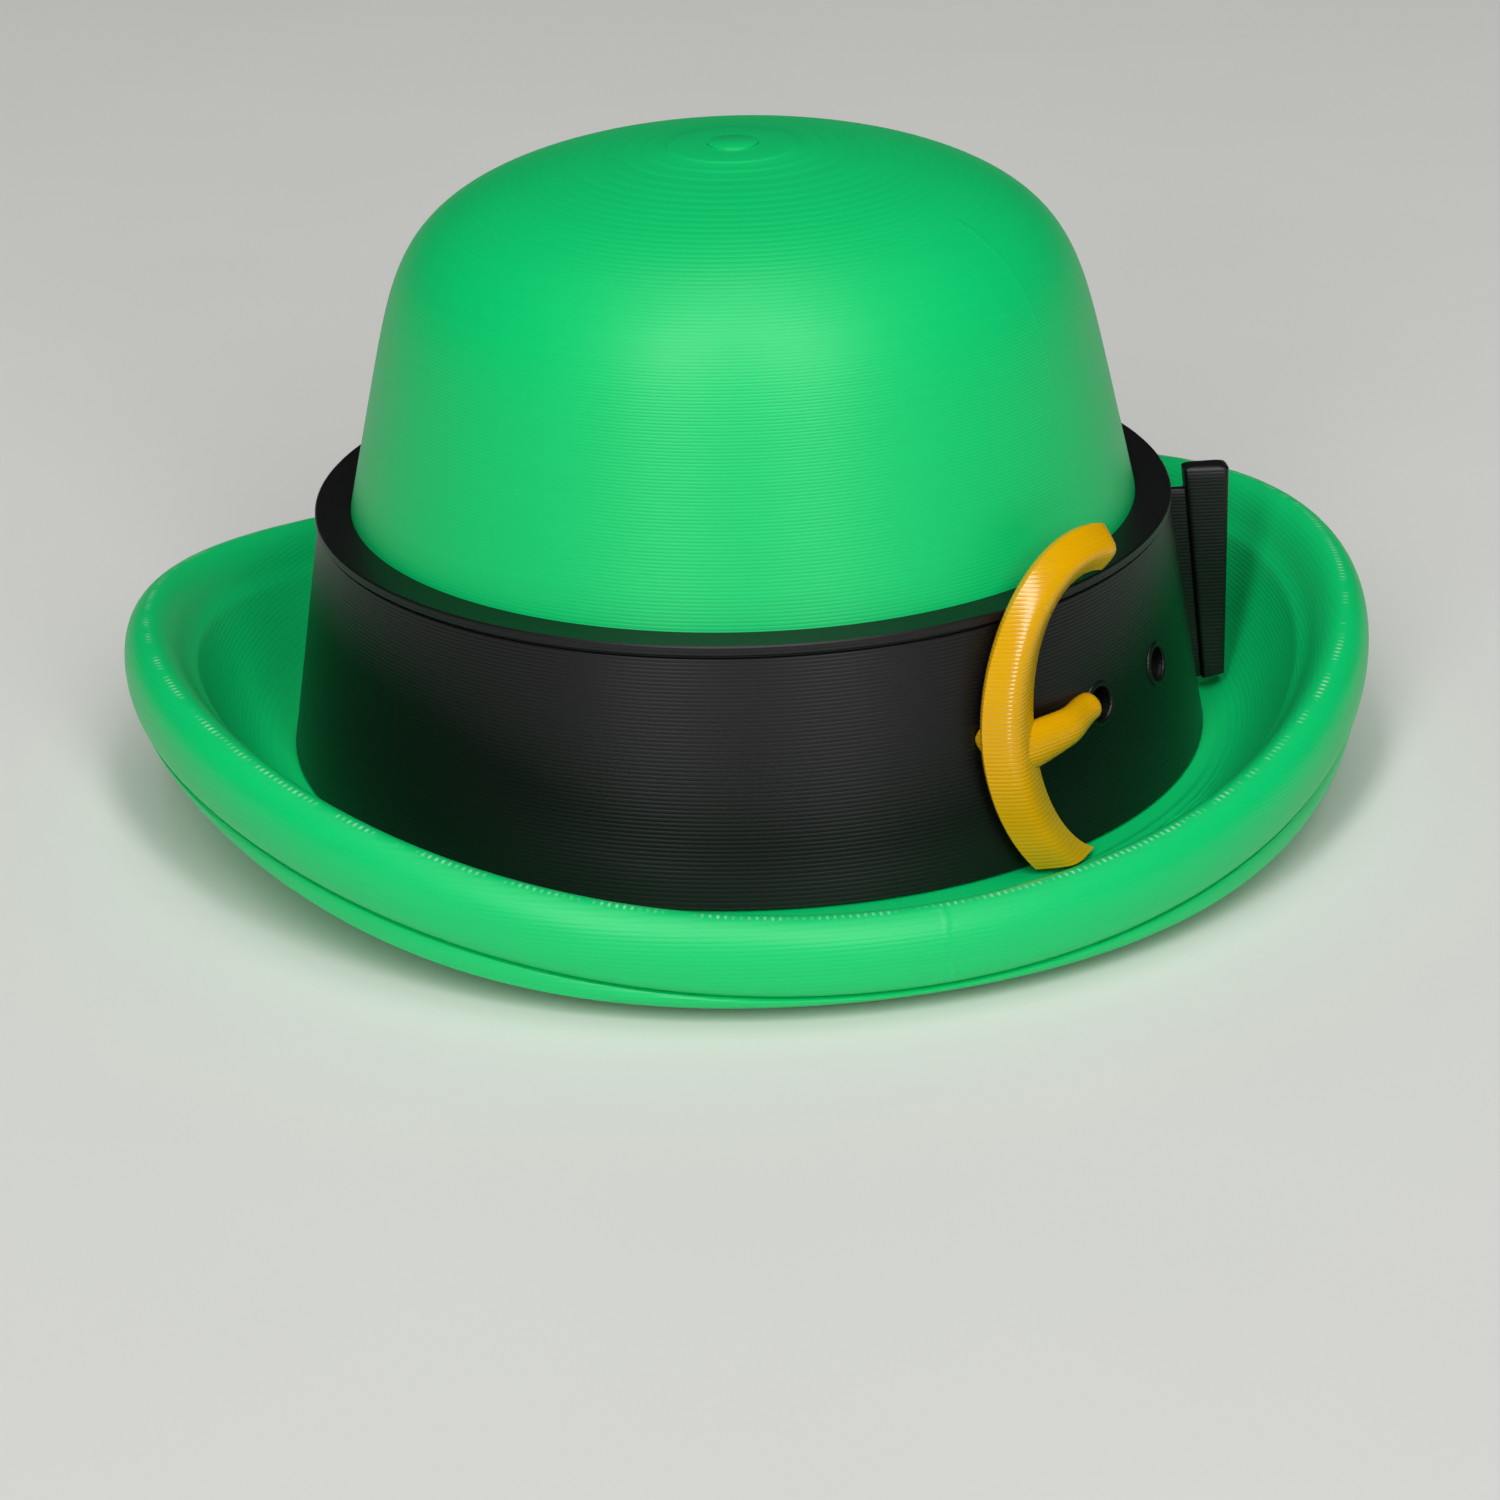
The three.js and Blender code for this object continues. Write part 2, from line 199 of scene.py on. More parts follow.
class BOWLER_PG_all(bpy.types.PropertyGroup):
    """All sizes and colours of the hat and its stage."""

    printing: PointerProperty(type=BOWLER_PG_print)
    hat: PointerProperty(type=BOWLER_PG_hat)
    belt: PointerProperty(type=BOWLER_PG_belt)
    buckle: PointerProperty(type=BOWLER_PG_buckle)
    stage: PointerProperty(type=BOWLER_PG_stage)


# Nodes and meshes
MATH = "ShaderNodeMath"


def add(tree, kind, inputs=None, **settings):
    """Adds a node with its settings, and fills its inputs with values, sockets or nodes' first outputs."""
    node = tree.nodes.new(kind)
    for name, value in settings.items():
        setattr(node, name, value)
    for key, value in (inputs or {}).items():
        if isinstance(value, bpy.types.Node):
            value = value.outputs[0]
        if isinstance(value, bpy.types.NodeSocket):
            tree.links.new(value, node.inputs[key])
        else:
            node.inputs[key].default_value = value
    return node


def new_tree(name, inputs):
    """An empty geometry tree with named inputs, and its input node."""
    tree = bpy.data.node_groups.new(name, "GeometryNodeTree")
    tree.interface.new_socket("Geometry", in_out="OUTPUT", socket_type="NodeSocketGeometry")
    for socket_name, kind in inputs:
        tree.interface.new_socket(socket_name, in_out="INPUT", socket_type="NodeSocket" + kind)
    return tree, add(tree, "NodeGroupInput").outputs


def close_tree(tree, grid, radius, height, bearing, material):
    """Ends a tree: the grid's points go to their places, its seams are welded and it gets its material."""
    front = add(tree, MATH, {0: radius, 1: -1.0}, operation="MULTIPLY")
    ahead = add(tree, "ShaderNodeCombineXYZ", {"Y": front, "Z": height})
    place = add(tree, "ShaderNodeVectorRotate", {"Vector": ahead, "Angle": bearing}, rotation_type="Z_AXIS")
    placed = add(tree, "GeometryNodeSetPosition", {"Geometry": grid, "Position": place})
    welded = add(tree, "GeometryNodeMergeByDistance", {"Geometry": placed, "Distance": 1e-7})
    real = add(tree, "GeometryNodeRealizeInstances", {"Geometry": welded})
    dressed = add(tree, "GeometryNodeSetMaterial", {"Geometry": real, "Material": material})
    add(tree, "NodeGroupOutput", {0: dressed})
    return tree


def grid_of(tree, geometry, columns):
    """A grid with one row for each point of a line, and functions that read the line along it."""
    rows = add(tree, "GeometryNodeAttributeDomainSize", {"Geometry": geometry}).outputs["Point Count"]
    across = add(tree, "FunctionNodeIntegerMath", {0: columns, 1: 1}, operation="ADD")
    sizes = {"Vertices X": across, "Vertices Y": rows}
    grid = add(tree, "GeometryNodeMeshGrid", sizes)
    index = add(tree, "GeometryNodeInputIndex")
    row = add(tree, "FunctionNodeIntegerMath", {0: index, 1: rows}, operation="MODULO")
    column = add(tree, "FunctionNodeIntegerMath", {0: index, 1: rows}, operation="DIVIDE_FLOOR")
    wrapped = add(tree, "FunctionNodeIntegerMath", {0: column, 1: columns}, operation="MODULO")
    part = add(tree, MATH, {0: wrapped, 1: columns}, operation="DIVIDE")
    turn = add(tree, MATH, {0: part, 1: math.tau}, operation="MULTIPLY")

    def sample(name=None):
        kind = "FLOAT" if name else "FLOAT_VECTOR"
        if name:
            field = add(tree, "GeometryNodeInputNamedAttribute", {"Name": name}, data_type="FLOAT")
        else:
            field = add(tree, "GeometryNodeInputPosition")
        spots = {"Geometry": geometry, "Value": field, "Index": row}
        return add(tree, "GeometryNodeSampleIndex", spots, data_type=kind)

    return grid, turn, sample


def line_mesh(name, points, columns):
    """A line of points as a mesh, with one named column of numbers for each extra value."""
    mesh = bpy.data.meshes.new(name)
    mesh.from_pydata(points, [(i, i + 1) for i in range(len(points) - 1)], [])
    for column, values in columns.items():
        mesh.attributes.new(column, "FLOAT", "POINT").data.foreach_set("value", values)
    return mesh


def linked(name, data):
    """A new object in the scene, at the origin."""
    thing = bpy.data.objects.new(name, data)
    bpy.context.collection.objects.link(thing)
    return thing


def grown(name, line, tree, inputs):
    """Runs a tree on a line and keeps the result as a plain closed mesh in an object at the origin."""
    piece = linked(name, line)
    modifier = piece.modifiers.new(name, "NODES")
    modifier.node_group = tree
    for item in tree.interface.items_tree:
        if item.in_out == "INPUT" and item.name in inputs:
            modifier[item.identifier] = inputs[item.name]
    applied(piece)
    outward(piece.data)
    return piece


def applied(piece):
    """Turns an object's modifiers into its plain mesh."""
    seen = piece.evaluated_get(bpy.context.evaluated_depsgraph_get())
    mesh = bpy.data.meshes.new_from_object(seen)
    piece.modifiers.clear()
    piece.data = mesh


def outward(mesh):
    """Points a closed mesh's faces outwards, and stops if the mesh isn't closed."""
    shape = bmesh.new()
    shape.from_mesh(mesh)
    bmesh.ops.dissolve_degenerate(shape, dist=1e-8, edges=shape.edges)
    bmesh.ops.recalc_face_normals(shape, faces=shape.faces)
    loose = sum(1 for edge in shape.edges if not edge.is_manifold)
    shape.to_mesh(mesh)
    shape.free()
    if loose:
        raise RuntimeError(f"{mesh.name} has {loose} open edges")


def combine(piece, other, operation):
    """Joins another closed piece to this one or cuts it away, and removes the other."""
    modifier = piece.modifiers.new(operation, "BOOLEAN")
    modifier.operation = operation
    modifier.solver = "EXACT"
    modifier.object = other
    applied(piece)
    bpy.data.objects.remove(other)


def finish(piece, material, node):
    """Smooths a piece, gives it its material and puts it in a CAD node's place."""
    piece.data.materials.clear()
    piece.data.materials.append(material)
    piece.data.shade_smooth()
    piece.data.set_sharp_from_angle(angle=math.radians(38))
    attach(piece, "root")
    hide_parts(node)


# Printed plastic
def new_material(name):
    """An empty material, its tree and the place on the piece, in metres."""
    material = bpy.data.materials.new(name)
    material.use_nodes = True
    tree = material.node_tree
    tree.nodes.clear()
    return material, tree, add(tree, "ShaderNodeTexCoord").outputs["Object"]


def layer_growth(sizes):
    """How fast the layers get lower with height."""
    return (sizes.printing.layer_foot - sizes.printing.layer_top) / sizes.hat.crown_top


def layer_height(sizes, count):
    """Height of the groove that lies a number of layers below the crown's top."""
    growth = layer_growth(sizes)
    pitch = sizes.printing.layer_top * math.exp(growth * count)
    return (sizes.printing.layer_foot - pitch) / growth


def layer_count(tree, height, sizes):
    """Nodes that give how many layers below the crown's top a height is."""
    growth = layer_growth(sizes)
    foot = sizes.printing.layer_foot
    pitch = add(tree, MATH, {0: height, 1: -growth, 2: foot}, operation="MULTIPLY_ADD")
    ratio = add(tree, MATH, {0: pitch, 1: sizes.printing.layer_top}, operation="DIVIDE")
    power = add(tree, MATH, {0: ratio, 1: math.e}, operation="LOGARITHM")
    return add(tree, MATH, {0: power, 1: 1 / growth}, operation="MULTIPLY")


Seam = namedtuple("Seam", "bearing low high")
PLA_IOR = 1.46


def printed_pla(name, tint, sizes, roughness, shine, depth=1.0, seams=(), crest=None):
    """PLA laid down in level beads: satin, a fine groove between beads with painted shade in it, each layer
    a tone of its own, and on a crest painted glints at the bead ends.
    """
    material, tree, place = new_material(name)
    height = add(tree, "ShaderNodeSeparateXYZ", {0: place}).outputs["Z"]
    # The nozzle wanders by a few hundredths of a millimetre over stretches of about 4 mm.
    wander = add(tree, "ShaderNodeTexNoise", {"Vector": place, "Scale": 1 / (4 * MM), "Detail": 1.0})
    plain = layer_count(tree, height, sizes)
    # Level treads lie on whole counts, so the grooves are kept away from those.
    clear = add(tree, MATH, {0: plain, 1: 0.3}, operation="ADD")
    count = add(tree, MATH, {0: wander, 1: 0.06, 2: clear}, operation="MULTIPLY_ADD")
    within = add(tree, MATH, {0: count}, operation="FRACT")
    number = add(tree, MATH, {0: count}, operation="FLOOR")
    centred = add(tree, MATH, {0: within, 1: 2.0, 2: -1.0}, operation="MULTIPLY_ADD")
    hollow = add(tree, MATH, {0: centred, 1: 2.0}, operation="POWER")
    bead = add(tree, MATH, {0: 1.0, 1: hollow}, operation="SUBTRACT")
    chance = add(tree, "ShaderNodeTexWhiteNoise", {"W": number}, noise_dimensions="1D").outputs["Value"]
    # Grain of the plastic, 0.25 mm, and cloudy patches of about 6 mm.
    grain = add(tree, "ShaderNodeTexNoise", {"Vector": place, "Scale": 1 / (0.25 * MM), "Detail": 2.0})
    cloud = add(tree, "ShaderNodeTexNoise", {"Vector": place, "Scale": 1 / (6 * MM), "Detail": 3.0})
    relief = add(tree, MATH, {0: grain, 1: 0.2, 2: bead}, operation="MULTIPLY_ADD")
    for seam in seams:
        relief = seam_relief(tree, place, chance, relief, seam)
    if crest:
        ends = bead_ends_and_glints(tree, place, crest)
        relief = add(tree, MATH, {0: ends, 1: 2.5, 2: relief}, operation="MULTIPLY_ADD")
    bumps = {"Height": relief, "Distance": depth * sizes.printing.bead_depth, "Strength": 1.0}
    normal = add(tree, "ShaderNodeBump", bumps)
    shade = add(tree, MATH, {0: chance, 1: 0.02, 2: 0.95}, operation="MULTIPLY_ADD")
    mottled = add(tree, MATH, {0: cloud, 1: 0.03, 2: shade}, operation="MULTIPLY_ADD")
    # Painted shade: each groove between two beads is up to 1.5% darker than the bead's middle.
    value = add(tree, MATH, {0: bead, 1: 0.015, 2: mottled}, operation="MULTIPLY_ADD")
    tinted = add(tree, "ShaderNodeHueSaturation", {"Value": value, "Color": (*tint, 1.0)})
    if crest:
        # Painted glints: the bead ends are mixed 40% of the way to white, standing for the lamps' glints on
        # them.
        painted_glint = [part + 0.4 * (1.0 - part) for part in tint]
        tinted = add(tree, "ShaderNodeMixRGB", {"Fac": ends, "Color1": tinted, "Color2": (*painted_glint, 1.0)})
    low, high = roughness
    gloss = add(tree, "ShaderNodeMapRange", {"Value": cloud, "To Min": low, "To Max": high})
    looks = {"Base Color": tinted, "Roughness": gloss, "Specular IOR Level": shine, "Normal": normal}
    shader = add(tree, "ShaderNodeBsdfPrincipled", {"IOR": PLA_IOR, **looks})
    add(tree, "ShaderNodeOutputMaterial", {"Surface": shader})
    return material


def fading(tree, off, reach):
    """Nodes that fall softly from 1 on a line to 0 at a reach to either side of it."""
    near = add(tree, MATH, {0: off}, operation="ABSOLUTE")
    fall = {"Value": near, "From Max": reach, "To Min": 1.0, "To Max": 0.0}
    return add(tree, "ShaderNodeMapRange", fall, interpolation_type="SMOOTHSTEP")


def seam_relief(tree, place, chance, relief, seam):
    """Adds the ragged upright line where each layer of a wall starts."""
    # A layer starts up to 0.12 mm off the line, with a blob that reaches 0.28 mm to either side.
    turned = add(tree, "ShaderNodeMapping", {"Vector": place, "Rotation": (0.0, 0.0, -seam.bearing)})
    parts = add(tree, "ShaderNodeSeparateXYZ", {0: turned}).outputs
    off = add(tree, MATH, {0: chance, 1: 0.12 * MM, 2: parts["X"]}, operation="MULTIPLY_ADD")
    ridge = fading(tree, off, 0.28 * MM)
    front = add(tree, MATH, {0: parts["Y"], 1: 0.0}, operation="LESS_THAN")
    above = add(tree, MATH, {0: parts["Z"], 1: seam.low}, operation="GREATER_THAN")
    below = add(tree, MATH, {0: parts["Z"], 1: seam.high}, operation="LESS_THAN")
    kept = ridge
    for limit in (front, above, below):
        kept = add(tree, MATH, {0: kept, 1: limit}, operation="MULTIPLY")
    return add(tree, MATH, {0: kept, 1: 2.2, 2: relief}, operation="MULTIPLY_ADD")


def bead_ends_and_glints(tree, place, radius):
    """A row of round spots, one each 0.33 mm, where the beads along the crest of the brim end: bumps, and
    painted glints in the colour.
    """
    parts = add(tree, "ShaderNodeSeparateXYZ", {0: place}).outputs
    turn = add(tree, MATH, {0: parts["X"], 1: parts["Y"]}, operation="ARCTAN2")
    ends = round(math.tau * radius / (0.33 * MM))
    phase = add(tree, MATH, {0: turn, 1: ends}, operation="MULTIPLY")
    wave = add(tree, MATH, {0: phase}, operation="COSINE")
    knob = add(tree, MATH, {0: wave, 1: 0.0}, operation="MAXIMUM")
    level = add(tree, "ShaderNodeVectorMath", {0: place, 1: (1.0, 1.0, 0.0)}, operation="MULTIPLY")
    reach = add(tree, "ShaderNodeVectorMath", {0: level}, operation="LENGTH").outputs["Value"]
    off = add(tree, MATH, {0: reach, 1: radius}, operation="SUBTRACT")
    band = fading(tree, off, 0.22 * MM)
    # What lies below 3.5 mm is the underside of the low front.
    outside = add(tree, MATH, {0: parts["Z"], 1: 3.5 * MM}, operation="GREATER_THAN")
    # Each bead's end has a size of its own, so the row comes and goes over stretches of about 1.5 mm.
    patchy = add(tree, "ShaderNodeTexNoise", {"Vector": place, "Scale": 1 / (1.5 * MM), "Detail": 2.0})
    size = add(tree, "ShaderNodeMapRange", {"Value": patchy, "From Min": 0.4, "From Max": 0.65})
    spots = add(tree, MATH, {0: knob, 1: band}, operation="MULTIPLY")
    for limit in (outside, size):
        spots = add(tree, MATH, {0: spots, 1: limit}, operation="MULTIPLY")
    return spots


# Crown and brim
Row = namedtuple("Row", "r z fold sag step", defaults=(0.0, 0.0, 0.0))

# The roll of the brim at its low front in mm, from the floor's crease over the top to the groove below.
BRIM_ROLL = (
    Row(r=26.5, z=2.4),
    Row(r=27.0, z=3.0),
    Row(r=27.5, z=3.8),
    Row(r=28.05, z=4.4),
    Row(r=28.65, z=4.65),
    Row(r=29.25, z=4.45),
    Row(r=29.7, z=3.9),
    Row(r=29.9, z=3.1),
    Row(r=29.88, z=2.2),
    Row(r=29.72, z=1.55),
    Row(r=29.45, z=1.27),
)

# The groove under the roll, the thin lip below it and the underside, in mm. fold is the share of the side
# lift, and sag the share of the underside's later lift.
BRIM_UNDERSIDE = (
    Row(r=29.2, z=1.24, fold=1.0),
    Row(r=29.2, z=1.16, fold=0.98, sag=0.02),
    Row(r=29.42, z=1.12, fold=0.94, sag=0.06),
    Row(r=29.5, z=1.06, fold=0.8, sag=0.2),
    Row(r=29.48, z=0.98, fold=0.4, sag=0.6),
    Row(r=29.4, z=0.88, fold=0.05, sag=0.95),
    Row(r=29.2, z=0.76, fold=0.0, sag=1.0),
    Row(r=28.6, z=0.45, fold=0.0, sag=1.0),
    Row(r=27.2, z=0.0, fold=0.0, sag=0.95),
    Row(r=25.0, z=0.0, fold=0.0, sag=0.45),
    Row(r=22.6, z=0.0),
)
NARROW_TREAD = 0.06 * MM  # a tread this narrow is lost in the wall
WIDE_TREAD = 0.7 * MM  # one this wide has a step
PLAIN_TREAD = 1.2 * MM  # one this wide has the whole step
STEP_SHARE = 0.4  # on a narrower one the molten beads even out the rest
TOP_DISC = 1.2 * MM  # radius of the last layer, which shows on the crown's top
TREAD_EDGE = 0.05 * MM  # rounding of a tread's edge
# The rows of a tread's edge: the share of the rounding that a row is set in by, and of the layer's height.
EDGE_ROWS = ((1.0, 0.12), (0.25, 0.3), (0.0, 0.6), (0.0, 1.0))
WALL_ROWS = 44
WALL_CROWDING = 1.6  # brings the wall's rows closer together beside the dome
FLOOR_ROW = 0.11 * MM


def smooth(part):
    """An even start and end between 0 and 1."""
    part = min(max(part, 0.0), 1.0)
    return part * part * (3 - 2 * part)


def even_parts(steps):
    """Even parts of the way from 0 to 1."""
    return [i / steps for i in range(steps + 1)]


def through(points, steps):
    """Points on a smooth curve through the given points, without the last one."""
    ends = [points[0], *points, points[-1]]
    for before, start, end, after in zip(ends, ends[1:], ends[2:], ends[3:]):
        for t in even_parts(steps)[:-1]:
            lead = (end - before) * 0.5
            trail = (after - start) * 0.5
            bend = (start * 2 - end * 2 + lead + trail) * t**3
            yield bend + (end * 3 - start * 3 - lead * 2 - trail) * t**2 + lead * t + start


def crown_radius(hat, z, inset=0.0):
    """Outside radius of the crown at a height, for a shell grown inwards by inset."""
    radius = hat.crown_radius - inset
    if z <= hat.wall_top:
        return radius + hat.wall_taper * (hat.wall_top - z)
    climb = min((z - hat.wall_top) / (hat.crown_top - inset - hat.wall_top), 1.0)
    wall = radius - hat.crown_taper * (z - hat.wall_top)
    return wall * (1.0 - climb**hat.dome_power) ** (1.0 / hat.dome_root)


def dome_rows(sizes):
    """The crown from its top to the belt: a tread with a round edge for each layer, and then the wall."""
    hat = sizes.hat
    rows = [Row(0.0, hat.crown_top)]
    high = hat.crown_top
    layer = 0
    step = 1.0
    while step > 0.0:
        layer += 1
        low = layer_height(sizes, layer)
        radius = crown_radius(hat, (high + low) / 2) if layer > 1 else TOP_DISC
        tread = radius - crown_radius(hat, high)
        step = smooth((tread - NARROW_TREAD) / (WIDE_TREAD - NARROW_TREAD))
        kept = step * (STEP_SHARE + (1.0 - STEP_SHARE) * smooth(tread / PLAIN_TREAD))
        edge = min(TREAD_EDGE, tread / 3)
        for inset, part in EDGE_ROWS:
            z = high + part * (low - high)
            plain = crown_radius(hat, z)
            rows.append(Row(plain + (radius - inset * edge - plain) * kept, z))
        high = low
    for part in even_parts(WALL_ROWS)[1:]:
        z = high + (hat.wall_top - high) * part**WALL_CROWDING
        rows.append(Row(crown_radius(hat, z), z))
    return rows


def brim_rows(hat):
    """The floor of the brim, its roll and its underside. The floor steps with the layers."""
    rows = [Row(crown_radius(hat, hat.floor_top), hat.floor_top)]
    span = hat.crease_radius - hat.belt_land
    for part in even_parts(round(span / FLOOR_ROW))[:-1]:
        step = min(1.0, 5 * part, 5 * (1 - part))  # starts and ends softly, over a fifth of the floor
        z = hat.floor_top + hat.floor_rise * part**2
        rows.append(Row(hat.belt_land + span * part, z, part**hat.late_fold, 0.0, step))
    for spot in through([Vector((row.r, row.z)) * MM for row in BRIM_ROLL], 4):
        rows.append(Row(spot.x, spot.y, 1.0))
    rows.append(Row(BRIM_ROLL[-1].r * MM, BRIM_ROLL[-1].z * MM, 1.0))
    for row in BRIM_UNDERSIDE:
        rows.append(row._replace(r=row.r * MM, z=row.z * MM))
    return rows


def inside_rows(hat):
    """The inside of the crown, from its open foot to its top."""
    rows = []
    top = hat.crown_top - hat.shell
    for part in even_parts(steps=20)[:-1]:
        z = top * math.sin(math.pi / 2 * part)
        rows.append(Row(crown_radius(hat, z, hat.shell), z))
    rows.append(Row(0.0, top))
    return rows


def turned_tree(sizes):
    """Turns a section round the axis, lifts it at both sides and steps it into layers."""
    inputs = (
        ("Section", "Geometry"),
        ("Turn Steps", "Int"),
        ("Side Lift", "Float"),
        ("Late Lift", "Float"),
        ("Material", "Material"),
    )
    tree, given = new_tree("turned_section", inputs)
    grid, turn, sample = grid_of(tree, given["Section"], given["Turn Steps"])
    spot = add(tree, "ShaderNodeSeparateXYZ", {0: sample()}).outputs
    sine = add(tree, MATH, {0: turn}, operation="SINE")
    side = add(tree, MATH, {0: sine, 1: 2.0}, operation="POWER")
    later = add(tree, MATH, {0: side, 1: 2.0}, operation="POWER")
    lag = add(tree, MATH, {0: later, 1: side}, operation="SUBTRACT")
    rise = add(tree, MATH, {0: lag, 1: given["Late Lift"], 2: side}, operation="MULTIPLY_ADD")
    folded = add(tree, MATH, {0: rise, 1: sample("fold")}, operation="MULTIPLY")
    lifted = add(tree, MATH, {0: later, 1: sample("sag"), 2: folded}, operation="MULTIPLY_ADD")
    lift = given["Side Lift"]
    height = add(tree, MATH, {0: lifted, 1: lift, 2: spot["Z"]}, operation="MULTIPLY_ADD")
    # A stepped height: level on each layer, with a short riser between two of them.
    growth = layer_growth(sizes)
    count = layer_count(tree, height, sizes)
    whole = add(tree, MATH, {0: count}, operation="FLOOR")
    rest = add(tree, MATH, {0: count}, operation="FRACT")
    middle = {"Value": rest, "From Min": 0.3, "From Max": 0.7}
    riser = add(tree, "ShaderNodeMapRange", middle, interpolation_type="SMOOTHSTEP")
    stepped = add(tree, MATH, {0: whole, 1: riser}, operation="ADD")
    power = add(tree, MATH, {0: stepped, 1: growth}, operation="MULTIPLY")
    ratio = add(tree, MATH, {0: power}, operation="EXPONENT")
    scale = -sizes.printing.layer_top / growth
    shift = sizes.printing.layer_foot / growth
    level = add(tree, MATH, {0: ratio, 1: scale, 2: shift}, operation="MULTIPLY_ADD")
    change = add(tree, MATH, {0: level, 1: height}, operation="SUBTRACT")
    # The steps are lost where the brim climbs steeply at its sides.
    steep = {"Value": side, "From Min": 0.45, "From Max": 0.75, "To Min": 1.0, "To Max": 0.0}
    flat = add(tree, "ShaderNodeMapRange", steep)
    kept = add(tree, MATH, {0: flat, 1: sample("step")}, operation="MULTIPLY")
    final = add(tree, MATH, {0: change, 1: kept, 2: height}, operation="MULTIPLY_ADD")
    return close_tree(tree, grid, spot["X"], final, turn, given["Material"])


def turned(name, rows, sizes, material, side_lift=0.0):
    """A piece turned round the axis from the rows of its section."""
    points = [(row.r, 0.0, row.z) for row in rows]
    columns = {key: [getattr(row, key) for row in rows] for key in ("fold", "sag", "step")}
    inputs = {
        "Turn Steps": sizes.hat.turn_steps,
        "Side Lift": side_lift,
        "Late Lift": sizes.hat.late_lift,
        "Material": material,
    }
    return grown(name, line_mesh(name + "_section", points, columns), turned_tree(sizes), inputs)


class BOWLER_OT_hat(bpy.types.Operator):
    """Make the green crown and brim in one printed shell."""

    bl_idname = "bowler.hat"
    bl_label = "Crown and brim"

    def execute(self, context):
        sizes = context.scene.bowler
        hat = sizes.hat
        up_the_crown = Seam(math.radians(43.5), hat.wall_top, hat.crown_top * 0.93)
        across_the_brim = Seam(math.radians(3.0), 0.0, hat.wall_top * 0.4)
        # Satin plastic: a broad soft streak of light, crossed by fine level lines.
        looks = {"roughness": (0.38, 0.46), "shine": 0.5}
        # The seams are faults of the print; the crest's bead ends get bumps and painted glints.
        faults_and_glints = {"seams": (up_the_crown, across_the_brim), "crest": hat.crest_radius}
        material = printed_pla("green_pla", sizes.printing.green, sizes, **looks, **faults_and_glints)
        rows = dome_rows(sizes) + brim_rows(hat) + inside_rows(hat)
        piece = turned("green_hat", rows, sizes, material, hat.side_lift)
        finish(piece, material, "hat_body")
        return {"FINISHED"}


# Belt
CLOSE_FIT = 0.05 * MM  # gap between the belt and the hat


def band_radius(belt, z):
    """Outside radius of the belt at a height, also used above and below it for what lies on it."""
    return belt.foot_radius - belt.taper * (z - belt.foot)


def band_rows(hat, belt):
    """Section of the belt's loop: a plain face, a fine groove, a lip along the top and a level ledge."""
    foot = hat.floor_top + CLOSE_FIT
    lip_foot = belt.top - belt.lip_height
    edge = 0.1 * MM
    rows = [
        Row(crown_radius(hat, belt.top) + CLOSE_FIT, belt.top),
        Row(crown_radius(hat, foot) + CLOSE_FIT, foot),
        Row(band_radius(belt, foot) - edge, foot),
        Row(band_radius(belt, foot), foot + edge),
    ]
    for part in even_parts(steps=10)[1:-1]:
        z = foot + (lip_foot - foot) * part
        rows.append(Row(band_radius(belt, z), z))
    radius = band_radius(belt, lip_foot)
    proud = radius + belt.lip_proud
    return rows + [
        Row(radius, lip_foot - 0.8 * edge),
        Row(radius - edge, lip_foot - 0.3 * edge),
        Row(radius - edge, lip_foot + 0.3 * edge),
        Row(radius + 0.6 * belt.lip_proud, lip_foot + 0.8 * edge),
        Row(proud, lip_foot + 1.6 * edge),
        Row(proud - 0.2 * edge, belt.top - 0.7 * edge),
        Row(proud - 0.9 * edge, belt.top),
        rows[0],
    ]


